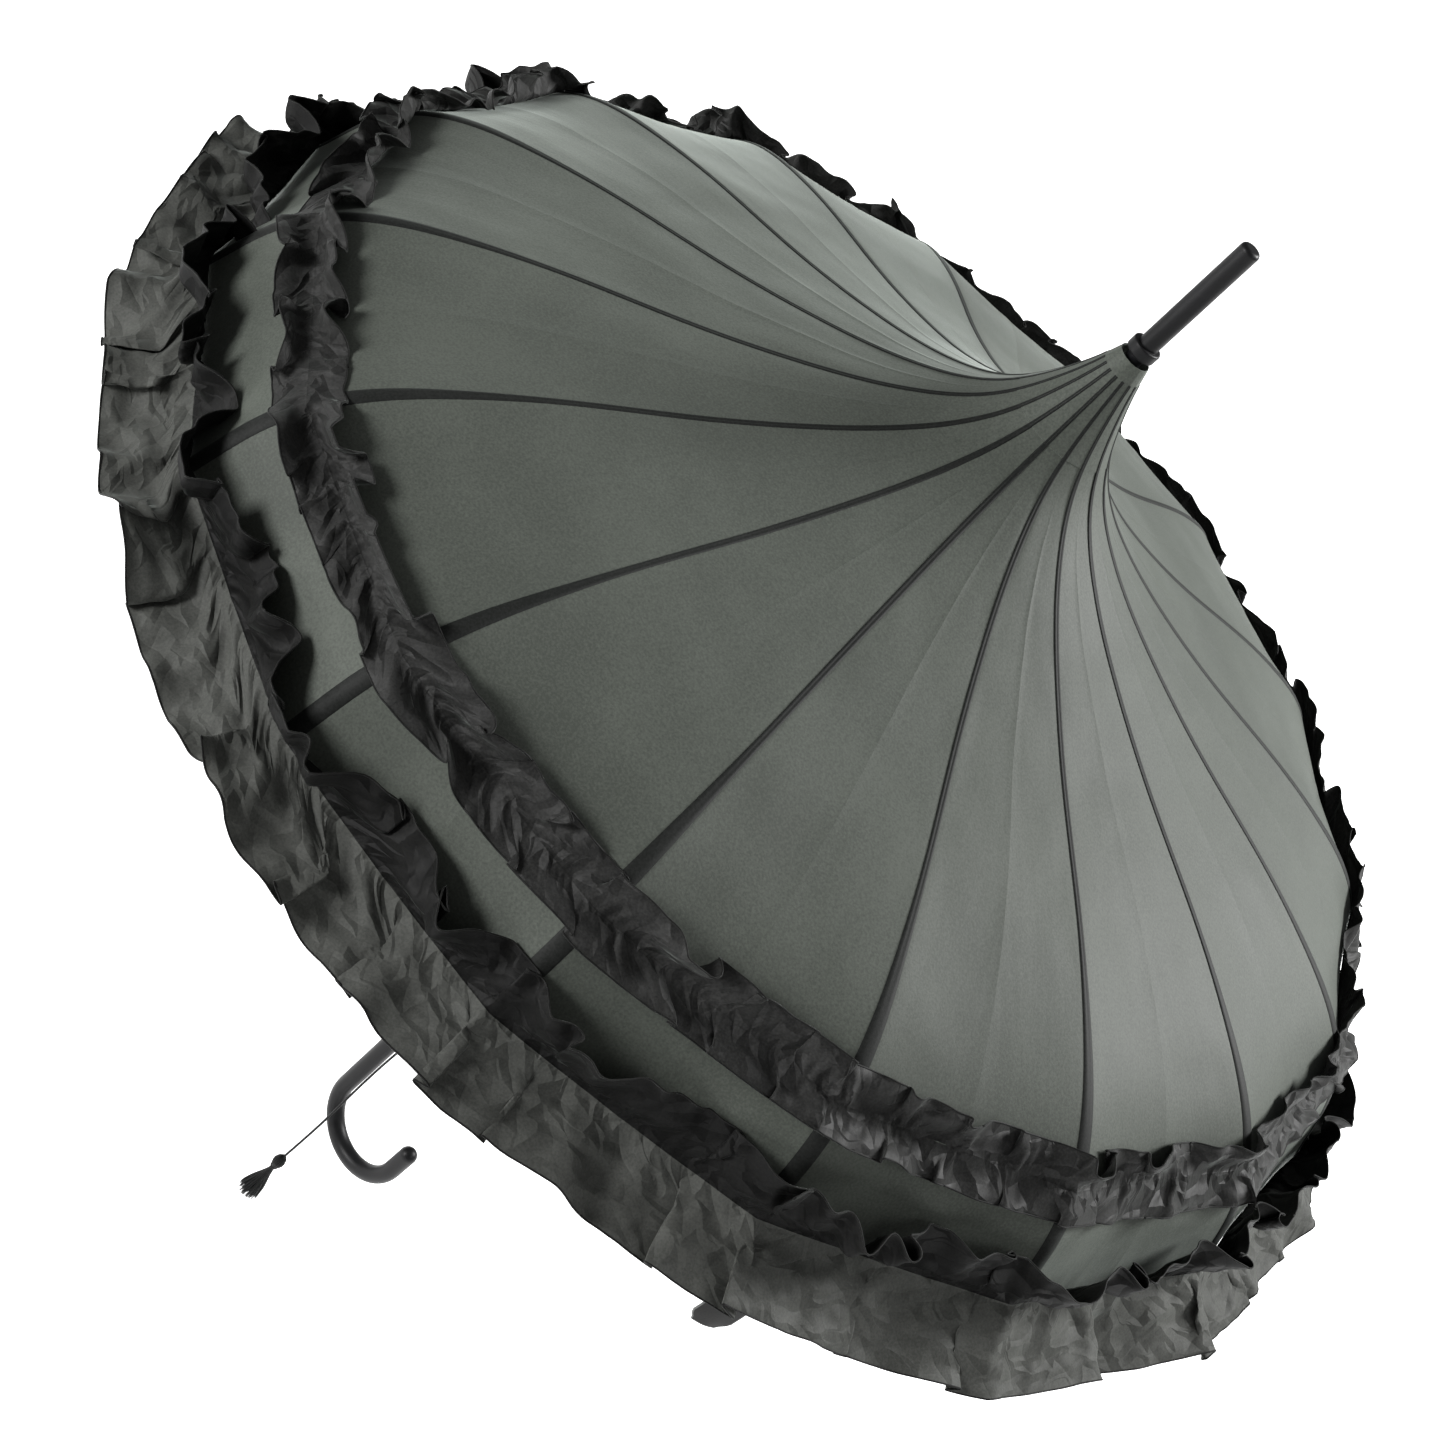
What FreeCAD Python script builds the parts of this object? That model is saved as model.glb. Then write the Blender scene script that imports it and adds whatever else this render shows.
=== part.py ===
"""Pagoda parasol with sixteen ribs and two gathered frills, drawn open and upright.

The shaft stands on +Z and the hook of the crook points to +X. The origin is on the shaft's axis, in the
straight grip of the handle. Each rib, its stretcher and its cloth are drawn once in the XZ plane and then
turned about Z. All sizes are in millimetres.
"""
import FreeCAD, Part
import Sketcher
import math
import os
import re
from FreeCAD import Placement, Rotation, Vector

# The cloth's outline along a rib, from the collar to the hem: radius, and drop below the ferrule's tip.
OUTLINE = {
    "crest": (9.2, 85),
    "spire": (12.5, 96),
    "throat": (22, 120),
    "neck": (40, 149),
    "shoulder": (75, 176),
    "slope": (130, 200.5),
    "middle": (190, 220),
    "outer": (250, 236),
    "brow": (310, 255.5),
    "turn": (358, 279),
    "fall": (386, 308),
    "skirt": (400, 340),
    "hem": (408, 361),
}

SIZES = {
    "rib_count": 16,
    "tip_height": 800,
    "shaft_radius": 5,
    "shaft_wall": 0.8,
    "shaft_bottom": 20,
    "shaft_top": 738,
    "slot_width": 2.6,
    "slot_height": 22,
    "ferrule_radius": 6,
    "ferrule_length": 82,
    "ferrule_round": 2.6,
    "collar_radius": 8.8,
    "collar_height": 7,
    "collar_round": 1.2,
    "notch_radius": 10.6,
    "notch_height": 14,
    "notch_drop": 97,
    "notch_slot_width": 2.2,
    "notch_slot_floor": 7.4,
    "root_radius": 1,
    "root_start_radius": 8.6,
    "root_start_drop": 104,
    "joint_gap": 1.6,
    "cloth_thickness": 1.2,
    "cloth_gap": 0.2,
    "cloth_split_radius": 31,
    "rib_radius": 1.5,
    "rib_offset": 2.5,
    "hinge_radius": 28,
    "rib_tip_radius": 2.2,
    "lug_station": 190,
    "lug_drop": 5,
    "lug_radius": 2.5,
    "lug_thickness": 2,
    "pin_radius": 0.9,
    "pin_length": 5,
    "pin_clearance": 0.06,
    "stretcher_radius": 1.2,
    "fork_width": 4.8,
    "fork_height": 4,
    "fork_length": 10,
    "fork_slot_depth": 5.5,
    "fork_clearance": 0.35,
    "eye_radius": 2,
    "eye_width": 2.4,
    "runner_pivot_radius": 16,
    "runner_pivot_height": 460,
    "runner_clearance": 0.25,
    "runner_radius": 10,
    "runner_top": 10,
    "runner_bottom": 56,
    "crown_radius": 18,
    "crown_height": 9,
    "crown_slot_width": 3.4,
    "crown_slot_floor": 12.8,
    "keyway_width": 3.2,
    "keyway_radius": 8.3,
    "window_bottom": 48,
    "window_height": 20,
    "catch_width": 2,
    "catch_height": 14,
    "catch_inner": 1,
    "catch_outer": 7.9,
    "catch_nose": 4.4,
    "catch_ramp": 9,
    "open_catch_top": 403.5,
    "close_catch_top": 245,
    "catch_leaf_length": 26,
    "catch_leaf_thickness": 0.8,
    "handle_radius": 6.4,
    "handle_top": 70,
    "sleeve_radius": 8,
    "sleeve_height": 34,
    "sleeve_round": 2,
    "bend_radius": 34,
    "bend_height": -72,
    "nose_length": 20,
    "wrap_height": 60,
    "cord_radius": 0.9,
    "tassel_head_radius": 5.2,
    "tassel_skirt_radius": 9.5,
    "tassel_length": 50,
    "frill_inner": 356,
    "frill_outer": 385,
    "frill_seat": 1,
    "frill_rise": 9,
    "strap_width": 22,
    "strap_length": 78,
    "strap_turn": 5,
    "strap_inset": 10,
    "strap_drop": 2.5,
}

# The gathered flounce at the hem as one closed outline: radius, and drop below the ferrule's tip.
FLOUNCE = [(392.5, 314), (400, 309), (409, 330), (430, 336), (451, 348), (451, 363), (430, 362), (413.5, 356),
           (402.5, 336)]

# The cord's route down beside the crook: distance from the shaft, sideways shift and height.
CORD_ROUTE = [(9.9, 0, 60), (15.6, 0.4, 55), (18.4, 1.2, 44), (19.6, 0.5, 24), (19.0, -1.0, -12),
              (17.8, -0.2, -58), (18.3, 1.1, -104), (17.6, 0.3, -151)]
CORD_AZIMUTH = -45.0
STRAP_RIB = 14

for outline_name, (outline_radius, outline_drop) in OUTLINE.items():
    SIZES[outline_name + "_radius"] = outline_radius
    SIZES[outline_name + "_drop"] = outline_drop

AXIS = Vector(0, 0, 1)
doc = FreeCAD.newDocument("parasol")
sheet = doc.addObject("Spreadsheet::Sheet", "Sizes")
nodes = []


def fill_sheet():
    """Write each driving size as a plain number with its alias."""
    for row, (alias, value) in enumerate(SIZES.items(), 1):
        sheet.set(f"A{row}", alias)
        sheet.set(f"B{row}", str(value))
        sheet.setAlias(f"B{row}", alias)
    doc.recompute()


def size(alias):
    return float(sheet.get(alias))


def bind(thing, **formulas):
    """Bind properties to the sheet; a double underscore in a name stands for a dot."""
    for name, formula in formulas.items():
        formula = re.sub(r"[a-z_]+", lambda word: ("Sizes." if word[0] in SIZES else "") + word[0],
                         str(formula))
        thing.setExpression(name.replace("__", "."), formula)
    return thing


def cylinder(name, radius, height, base):
    thing = doc.addObject("Part::Cylinder", name)
    return bind(thing, Radius=radius, Height=height, Placement__Base__z=base)


def box(name, length, width, height, corner):
    thing = doc.addObject("Part::Box", name)
    bind(thing, Length=length, Width=width, Height=height)
    return bind(thing, Placement__Base__x=corner[0], Placement__Base__y=corner[1],
                Placement__Base__z=corner[2])


def cut(name, base, *tools):
    for number, tool in enumerate(tools):
        thing = doc.addObject("Part::Cut", f"{name}_cut_{number}")
        thing.Base = base
        thing.Tool = tool
        base = thing
    return base


def fuse(name, *pieces):
    thing = doc.addObject("Part::MultiFuse", name)
    thing.Shapes = list(pieces)
    return thing


def group(name, pieces):
    thing = doc.addObject("Part::Compound", name)
    thing.Links = list(pieces)
    return thing


def fixed_shape(name, shape):
    thing = doc.addObject("Part::Feature", name)
    thing.Shape = shape
    return thing


def round_edges(name, base, radius, is_wanted):
    """Fillet the edges of base that is_wanted picks out."""
    doc.recompute()
    thing = doc.addObject("Part::Fillet", name)
    thing.Base = base
    wanted = [number for number, edge in enumerate(base.Shape.Edges, 1) if is_wanted(edge)]
    thing.Edges = [(number, size(radius), size(radius)) for number in wanted]
    return thing


def revolved(name, section, degrees):
    thing = doc.addObject("Part::Revolution", name)
    thing.Source = section
    thing.Axis = AXIS
    thing.Angle = degrees
    thing.Solid = True
    return thing


def node(label, thing):
    thing.Label = label
    nodes.append(thing)
    return thing


def turned(degrees):
    return Placement(Vector(), Rotation(AXIS, degrees))


def around(prefix, master):
    """Give every rib position its own node, a copy of the piece drawn in the XZ plane."""
    for number in range(int(size("rib_count"))):
        copy = group(f"{prefix}_at_{number:02d}", [master])
        bind(copy, Placement__Rotation__Angle=f"{number} * 360 deg / rib_count")
        node(f"{prefix}_{number:02d}", copy)


# ---- curves in the XZ plane ----

def in_plane(radius, drop):
    return Vector(radius, 0, size("tip_height") - drop)


def cloth_curve():
    curve = Part.BSplineCurve()
    curve.interpolate([in_plane(size(name + "_radius"), size(name + "_drop")) for name in OUTLINE])
    return curve


def parameter_at(curve, radius):
    """Where the curve, whose radius only grows, reaches the radius."""
    low, high = curve.FirstParameter, curve.LastParameter
    for _ in range(40):
        middle = (low + high) / 2
        if curve.value(middle).x < radius:
            low = middle
        else:
            high = middle
    return low


def point_beside(curve, parameter, distance):
    """A point on the upper side of the curve, or on the lower side when distance is negative."""
    along = curve.tangent(parameter)[0]
    return curve.value(parameter) + Vector(-along.z, 0, along.x) * distance


def curve_beside(curve, distance, first, last, steps=26):
    parameters = [first + (last - first) * step / steps for step in range(steps + 1)]
    beside = Part.BSplineCurve()
    beside.interpolate([point_beside(curve, parameter, distance) for parameter in parameters])
    return beside


def band_section(curve, low, high, first, last):
    """The closed section between two curves beside the given one."""
    upper = curve_beside(curve, high, first, last).toShape()
    lower = curve_beside(curve, low, first, last).toShape()
    ends = [Part.makeLine(lower.Vertexes[number].Point, upper.Vertexes[number].Point) for number in (0, 1)]
    return Part.Face(Part.Wire(Part.__sortEdges__([upper, lower] + ends)))


def polygon_section(corners):
    return Part.Face(Part.makePolygon(corners + corners[:1]))


def swept(name, path, radius):
    """A round rod along a wire."""
    start = path.OrderedVertexes[0].Point
    along = path.OrderedEdges[0].tangentAt(path.OrderedEdges[0].FirstParameter)
    if (path.OrderedEdges[0].valueAt(path.OrderedEdges[0].FirstParameter) - start).Length > 1e-6:
        along = along * -1
    section = fixed_shape(name + "_section", Part.Wire(Part.makeCircle(radius, start, along)))
    spine = fixed_shape(name + "_path", path)
    thing = doc.addObject("Part::Sweep", name)
    thing.Sections = [section]
    thing.Spine = (spine, [f"Edge{number}" for number in range(1, len(path.Edges) + 1)])
    thing.Solid = True
    thing.Frenet = False
    return thing


# ---- shaft, ferrule and top notch ----

def make_shaft():
    length = "shaft_top - shaft_bottom"
    tube = cylinder("shaft_outside", "shaft_radius", length, "shaft_bottom")
    hollow = cylinder("shaft_hollow", "shaft_radius - shaft_wall", length, "shaft_bottom")
    slots = [box(f"{catch}_slot", "shaft_radius", "slot_width", "slot_height",
                 (0.5, "-slot_width / 2", f"{catch}_catch_top - slot_height + 1.5"))
             for catch in ("open", "close")]
    node("shaft_tube", cut("shaft", tube, hollow, *slots))


def make_ferrule():
    """The spike above the cloth, moulded in one with the collar that clamps the cloth's crest."""
    base = "tip_height - ferrule_length"
    spike = cylinder("ferrule_spike", "ferrule_radius", "ferrule_length", base)
    rounded = round_edges("spike_rounded", spike, "ferrule_round",
                          lambda edge: edge.CenterOfMass.z > size("tip_height") - 1)
    ring = cylinder("collar_ring", "collar_radius", "collar_height", base)
    eased = round_edges("collar_rounded", ring, "collar_round", lambda edge: len(edge.Vertexes) == 1)
    socket = cylinder("ferrule_socket", "shaft_radius", "shaft_top - tip_height + ferrule_length", base)
    node("ferrule", cut("ferrule_body", fuse("ferrule_solid", rounded, eased), socket))


def make_top_notch():
    """A slotted crown that holds the upper ends of the ribs."""
    body = doc.addObject("PartDesign::Body", "notch_body")
    plane = next(item for item in body.Origin.OriginFeatures if item.Role == "XY_Plane")
    ring = body.newObject("Sketcher::SketchObject", "notch_ring")
    ring.AttachmentSupport = (plane, [""])
    ring.MapMode = "FlatFace"
    for number, alias in enumerate(("notch_radius", "shaft_radius")):
        ring.addGeometry(Part.Circle(Vector(), AXIS, size(alias)), False)
        ring.addConstraint(Sketcher.Constraint("Coincident", number, 3, -1, 1))
        ring.addConstraint(Sketcher.Constraint("Radius", number, size(alias)))
        bind(ring, **{f"Constraints[{2 * number + 1}]": alias})
    pad = body.newObject("PartDesign::Pad", "notch_pad")
    pad.Profile = ring
    bind(pad, Length="notch_height")
    slot = body.newObject("Sketcher::SketchObject", "notch_slot")
    slot.AttachmentSupport = (plane, [""])
    slot.MapMode = "FlatFace"
    half = size("notch_slot_width") / 2
    near, far = size("notch_slot_floor"), size("notch_radius") + 1
    corners = [Vector(near, -half, 0), Vector(far, -half, 0), Vector(far, half, 0), Vector(near, half, 0)]
    for first, second in zip(corners, corners[1:] + corners[:1]):
        slot.addGeometry(Part.LineSegment(first, second), False)
    doc.recompute()
    pocket = body.newObject("PartDesign::Pocket", "notch_pocket")
    pocket.Profile = slot
    pocket.Type = 1
    pocket.Reversed = True
    pattern = body.newObject("PartDesign::PolarPattern", "notch_pattern")
    pattern.Originals = [pocket]
    pattern.Axis = (ring, ["N_Axis"])
    pattern.Angle = 360
    bind(pattern, Occurrences="rib_count")
    body.Tip = pattern
    bind(body, Placement__Base__z="tip_height - notch_drop - notch_height")
    node("top_notch", body)


def make_rib_roots(hinge):
    """Short upper ends of the ribs, from the notch down to the place where each rib bends."""
    start = in_plane(size("root_start_radius"), size("root_start_drop"))
    along = hinge - start
    lean = Placement(start, Rotation(AXIS, along))
    roots = []
    for number in range(int(size("rib_count"))):
        root = doc.addObject("Part::Cylinder", f"root_{number:02d}")
        bind(root, Radius="root_radius")
        root.Height = along.Length - size("joint_gap")
        root.Placement = turned(number * 360 / size("rib_count")).multiply(lean)
        roots.append(root)
    node("rib_roots", group("root_group", roots))


# ---- ribs and stretchers ----

def make_ribs(curve, hinge_parameter, lug_foot, lug_point):
    first = curve.parameterAtDistance(size("joint_gap"), hinge_parameter)
    axis = curve_beside(curve, -size("rib_offset"), first, curve.LastParameter, 40)
    rod = swept("rib_rod", Part.Wire(axis.toShape()), size("rib_radius"))
    end = axis.value(axis.LastParameter) + axis.tangent(axis.LastParameter)[0] * size("rib_tip_radius")
    tip = doc.addObject("Part::Sphere", "rib_tip")
    bind(tip, Radius="rib_tip_radius")
    tip.Placement.Base = end
    web = doc.addObject("Part::Box", "lug_web")
    bind(web, Length="2 * lug_radius", Width="lug_thickness", Height="lug_drop")
    up = lug_foot - lug_point
    tilt = Rotation(Vector(0, 1, 0), math.degrees(math.atan2(up.x, up.z)))
    web.Placement = Placement(lug_point, tilt).multiply(
        Placement(Vector(-size("lug_radius"), -size("lug_thickness") / 2, 0), Rotation()))
    disc = cross_cylinder("lug_disc", "lug_radius", "lug_thickness", lug_point)
    pin = cross_cylinder("lug_pin", "pin_radius", "pin_length", lug_point)
    around("rib", fuse("rib_master", rod, tip, web, disc, pin))


def cross_cylinder(name, radius, width, centre):
    """A cylinder across the rib's plane, centred on it."""
    thing = doc.addObject("Part::Cylinder", name)
    bind(thing, Radius=radius, Height=width)
    thing.Placement = Placement(centre + Vector(0, size(width) / 2, 0), Rotation(Vector(1, 0, 0), 90))
    return thing


def make_stretchers(lug_point, runner_pivot):
    """A rod with a fork at the rib's lug and an eye at the runner."""
    along = runner_pivot - lug_point
    frame = Placement(lug_point, Rotation(Vector(1, 0, 0), along))

    def in_frame(thing, offset):
        thing.Placement = frame.multiply(Placement(offset, Rotation()))
        return thing

    fork_width, fork_height, slot = size("fork_width"), size("fork_height"), size("fork_slot_depth")
    gap = size("lug_thickness") + 2 * size("fork_clearance")
    block = doc.addObject("Part::Box", "fork_block")
    bind(block, Length="fork_length", Width="fork_width", Height="fork_height")
    in_frame(block, Vector(0, -fork_width / 2, -fork_height / 2))
    cheek = cross_cylinder("fork_cheek", "fork_height / 2", "fork_width", lug_point)
    opening = doc.addObject("Part::Box", "fork_opening")
    opening.Length = slot + fork_height
    opening.Width = gap
    opening.Height = 2 * fork_height
    in_frame(opening, Vector(-fork_height, -gap / 2, -fork_height))
    hole = cross_cylinder("fork_hole", "pin_radius + pin_clearance", "pin_length", lug_point)
    rod = doc.addObject("Part::Cylinder", "stretcher_rod")
    bind(rod, Radius="stretcher_radius")
    rod.Height = along.Length - size("fork_length") + 1
    rod.Placement = Placement(frame.multVec(Vector(size("fork_length") - 1, 0, 0)), Rotation(AXIS, along))
    eye = cross_cylinder("stretcher_eye", "eye_radius", "eye_width", runner_pivot)
    eye_hole = cross_cylinder("eye_hole", "pin_radius + pin_clearance", "pin_length", runner_pivot)
    solid = fuse("stretcher_solid", block, cheek, rod, eye)
    around("stretcher", cut("stretcher_master", solid, opening, hole, eye_hole))


# ---- runner and catches ----

def make_runner():
    low = "runner_pivot_height - runner_bottom"
    whole = "runner_bottom + runner_top"
    sleeve = cylinder("runner_sleeve", "runner_radius", whole, low)
    crown = cylinder("runner_crown", "crown_radius", "crown_height",
                     "runner_pivot_height - crown_height / 2")
    bore = cylinder("runner_bore", "shaft_radius + runner_clearance", whole, low)
    keyway = box("runner_keyway", "keyway_radius", "keyway_width", whole, (0, "-keyway_width / 2", low))
    window = box("runner_window", "runner_radius + 2", "keyway_width", "window_height",
                 (0, "-keyway_width / 2", "runner_pivot_height - window_bottom"))
    slots = []
    for number in range(int(size("rib_count"))):
        slot = doc.addObject("Part::Box", f"crown_slot_{number:02d}")
        bind(slot, Length="crown_radius - crown_slot_floor + 1", Width="crown_slot_width",
             Height="2 * crown_height")
        corner = Vector(size("crown_slot_floor"), -size("crown_slot_width") / 2,
                        size("runner_pivot_height") - size("crown_height"))
        slot.Placement = turned(number * 360 / size("rib_count")).multiply(Placement(corner, Rotation()))
        slots.append(slot)
    solid = fuse("runner_solid", sleeve, crown)
    node("runner", cut("runner", solid, bore, keyway, window, group("crown_slots", slots)))


def make_catches():
    """Two sprung catches that stand out of the shaft's slots, each a nose with a ramp on a flat leaf."""
    for catch in ("open", "close"):
        top = size(f"{catch}_catch_top")
        bottom = top - size("catch_height")
        foot = bottom - size("catch_leaf_length")
        inner, outer = size("catch_inner"), size("catch_outer")
        leaf = inner + size("catch_leaf_thickness")
        corners = [Vector(inner, 0, foot), Vector(leaf, 0, foot), Vector(leaf, 0, bottom),
                   Vector(size("catch_nose"), 0, bottom), Vector(outer, 0, bottom + size("catch_ramp")),
                   Vector(outer, 0, top), Vector(inner, 0, top)]
        side = fixed_shape(f"{catch}_catch_side", polygon_section(corners))
        plate = doc.addObject("Part::Extrusion", f"{catch}_catch_plate")
        plate.Base = side
        plate.Dir = Vector(0, 1, 0)
        plate.Solid = True
        plate.Symmetric = True
        bind(plate, LengthFwd="catch_width")
        node(f"{catch}_catch", plate)


# ---- cloth ----

def make_cloth(curve):
    half = size("cloth_thickness") / 2
    split = parameter_at(curve, size("cloth_split_radius"))
    gap = size("cloth_gap") / size("cloth_split_radius")
    top = band_section(curve, -half, half, curve.FirstParameter, split - gap)
    node("canopy_spire", revolved("spire_cloth", fixed_shape("spire_section", top), 360))

    sector = 360 / size("rib_count")
    wedge = fixed_shape("sector_wedge", sector_wedge(math.radians(sector / 2)))
    sections = {
        "panel": band_section(curve, -half, half, split, curve.LastParameter),
        "frill": band_section(curve, size("frill_seat"), size("frill_rise"),
                              parameter_at(curve, size("frill_inner")),
                              parameter_at(curve, size("frill_outer"))),
        "flounce": polygon_section([in_plane(radius, drop) for radius, drop in FLOUNCE]),
    }
    pieces = []
    for name, face in sections.items():
        face.rotate(Vector(), AXIS, -sector / 2)
        ring = revolved(f"{name}_ring", fixed_shape(f"{name}_section", face), sector)
        piece = doc.addObject("Part::Common", f"{name}_piece")
        piece.Base = ring
        piece.Tool = wedge
        pieces.append(piece)
    around("canopy_panel", group("panel_master", pieces))
    panel = next(item for item in nodes if item.Label == f"canopy_panel_{STRAP_RIB}")
    panel.Links = panel.Links + [make_strap()]


def sector_wedge(half_angle):
    """A prism between two planes that stay half the cloth gap inside the sector's own planes."""
    apex = size("cloth_gap") / math.sin(half_angle)
    reach = 2 * size("hem_radius")
    spread = (reach - apex) * math.tan(half_angle)
    corners = [Vector(apex, 0, 0), Vector(reach, -spread, 0), Vector(reach, spread, 0)]
    return polygon_section(corners).extrude(Vector(0, 0, size("tip_height")))


def make_strap():
    """The closing strap, which hangs from the inside of the hem beside its rib."""
    strap = doc.addObject("Part::Box", "strap_band")
    bind(strap, Length="cloth_thickness", Width="strap_width", Height="strap_length")
    corner = Vector(size("hem_radius") - size("strap_inset"), -size("strap_width") / 2,
                    size("tip_height") - size("hem_drop") - size("strap_drop") - size("strap_length"))
    strap.Placement = turned(size("strap_turn")).multiply(Placement(corner, Rotation()))
    return strap


# ---- handle, cord and tassel ----

def make_handle():
    bend, low = size("bend_radius"), size("bend_height")
    top = Vector(0, 0, size("handle_top"))
    left, bottom, right = Vector(0, 0, low), Vector(bend, 0, low - bend), Vector(2 * bend, 0, low)
    nose_end = right + Vector(0, 0, size("nose_length"))
    path = Part.Wire([Part.makeLine(top, left), Part.Arc(left, bottom, right).toShape(),
                      Part.makeLine(right, nose_end)])
    crook = swept("crook_rod", path, size("handle_radius"))
    nose = doc.addObject("Part::Sphere", "crook_nose")
    bind(nose, Radius="handle_radius")
    nose.Placement.Base = nose_end
    sleeve = cylinder("handle_sleeve", "sleeve_radius", "sleeve_height", "handle_top - sleeve_height")
    eased = round_edges("sleeve_rounded", sleeve, "sleeve_round", lambda edge: len(edge.Vertexes) == 1)
    socket = cylinder("handle_socket", "shaft_radius", "handle_top - shaft_bottom", "shaft_bottom")
    node("handle_crook", cut("handle", fuse("handle_solid", crook, nose, eased), socket))


def make_cord_wrap():
    """Two turns of the cord round the handle's sleeve."""
    turns = []
    for number in (0, 1):
        turn = doc.addObject("Part::Torus", f"wrap_turn_{number}")
        bind(turn, Radius1="sleeve_radius + cord_radius", Radius2="cord_radius",
             Placement__Base__z=f"wrap_height - {2 * number} * cord_radius")
        turns.append(turn)
    node("cord_wrap", group("cord_wrap_turns", turns))


def rounded_path(points):
    """Straight runs joined by tangent arcs, each as large as its two runs allow."""
    edges = []
    radii = []
    start = points[0]
    for before, corner, after in zip(points, points[1:], points[2:]):
        inward, outward = (before - corner), (after - corner)
        half_turn = (math.pi - inward.getAngle(outward)) / 2
        reach = 0.45 * min(inward.Length, outward.Length)
        inward.normalize()
        outward.normalize()
        radii.append(reach / math.tan(half_turn))
        first, last = corner + inward * reach, corner + outward * reach
        middle_way = inward + outward
        middle_way.normalize()
        depth = radii[-1] / math.cos(half_turn) - radii[-1]
        edges.append(Part.makeLine(start, first))
        edges.append(Part.Arc(first, corner + middle_way * depth, last).toShape())
        start = last
    edges.append(Part.makeLine(start, points[-1]))
    return Part.Wire(edges), radii


def make_cord():
    side = turned(CORD_AZIMUTH)
    points = [side.multVec(Vector(*place)) for place in CORD_ROUTE]
    path, radii = rounded_path(points)
    cord = node("tassel_cord", swept("cord", path, size("cord_radius")))
    doc.recompute()
    expected = math.pi * size("cord_radius") ** 2 * path.Length
    print("cord radii", [round(radius, 1) for radius in radii])
    print(f"cord length {path.Length:.1f}, volume {cord.Shape.Volume:.1f} of {expected:.1f}")
    return points[-1]


def make_tassel(cord_end):
    top, length = cord_end.z, size("tassel_length")
    head, skirt = size("tassel_head_radius"), size("tassel_skirt_radius")
    neck = Vector(0.62 * head, 0, top - 2.1 * head)
    crown = Part.Arc(Vector(0, 0, top), Vector(head, 0, top - 1.05 * head), neck).toShape()
    corners = [neck, Vector(0.62 * head, 0, top - 2.8 * head), Vector(0.86 * skirt, 0, top - 0.75 * length),
               Vector(skirt, 0, top - length), Vector(0, 0, top - length), Vector(0, 0, top)]
    sides = [Part.makeLine(first, second) for first, second in zip(corners, corners[1:])]
    section = fixed_shape("tassel_section", Part.Face(Part.Wire([crown] + sides)))
    tassel = revolved("tassel_solid", section, 360)
    tassel.Placement.Base = Vector(cord_end.x, cord_end.y, 0)
    node("tassel", tassel)


# ---- the whole parasol ----

def build():
    fill_sheet()
    curve = cloth_curve()
    hinge_parameter = parameter_at(curve, size("hinge_radius") + 2)
    hinge = point_beside(curve, hinge_parameter, -size("rib_offset"))
    lug_parameter = parameter_at(curve, size("lug_station"))
    lug_foot = point_beside(curve, lug_parameter, -size("rib_offset"))
    lug_point = point_beside(curve, lug_parameter, -size("rib_offset") - size("lug_drop"))
    runner_pivot = Vector(size("runner_pivot_radius"), 0, size("runner_pivot_height"))
    make_shaft()
    make_ferrule()
    make_top_notch()
    make_rib_roots(hinge)
    make_cloth(curve)
    make_ribs(curve, hinge_parameter, lug_foot, lug_point)
    make_stretchers(lug_point, runner_pivot)
    make_runner()
    make_catches()
    make_handle()
    make_cord_wrap()
    make_tassel(make_cord())
    print("rib hinge", hinge, "stretcher pivot on the rib", lug_point)


def write_steps():
    doc.recompute()
    for thing in doc.Objects:
        if {"Invalid", "Error"} & set(thing.State):
            raise RuntimeError(f"{thing.Label} did not compute")
    os.makedirs("parts", exist_ok=True)
    for thing in nodes:
        if thing.Shape.isNull() or not thing.Shape.isValid():
            raise RuntimeError(f"{thing.Label} has no valid shape")
        thing.Shape.exportStep(f"parts/{thing.Label}.step")
    print(len(nodes), "sub-parts written")


build()
write_steps()
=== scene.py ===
"""The looks of a pagoda parasol: sixteen gores of dark satin, two taffeta frills, ribs, crook and tassel.

Everything is in metres in the frame of the CAD model: +Z up the shaft, +X towards the open end of the crook.
The cloth of rib k is made in the XZ plane and turned by k sixteenths of a circle.
"""
import math

import bpy
import numpy as np
from mathutils import Matrix, Vector, noise


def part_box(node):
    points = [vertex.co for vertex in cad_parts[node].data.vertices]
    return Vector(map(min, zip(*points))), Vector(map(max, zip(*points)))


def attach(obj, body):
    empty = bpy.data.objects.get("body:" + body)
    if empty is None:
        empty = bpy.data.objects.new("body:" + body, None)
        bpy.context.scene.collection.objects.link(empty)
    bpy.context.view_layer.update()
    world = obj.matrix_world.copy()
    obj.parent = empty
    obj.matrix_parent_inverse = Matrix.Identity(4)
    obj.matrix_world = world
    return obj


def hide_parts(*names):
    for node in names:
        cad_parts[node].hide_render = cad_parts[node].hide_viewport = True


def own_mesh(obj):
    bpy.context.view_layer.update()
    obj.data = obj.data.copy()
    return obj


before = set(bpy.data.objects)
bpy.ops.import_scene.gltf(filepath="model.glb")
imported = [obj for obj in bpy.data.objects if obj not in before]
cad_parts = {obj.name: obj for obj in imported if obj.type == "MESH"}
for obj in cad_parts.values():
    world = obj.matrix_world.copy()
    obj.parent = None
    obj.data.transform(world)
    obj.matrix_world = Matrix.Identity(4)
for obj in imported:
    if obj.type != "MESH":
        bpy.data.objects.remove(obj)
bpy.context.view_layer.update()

RIBS = 16
RIB_STEP = 2 * math.pi / RIBS
HALF_PANEL = RIB_STEP / 2
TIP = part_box("ferrule")[1].z
MM = 0.001

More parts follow.
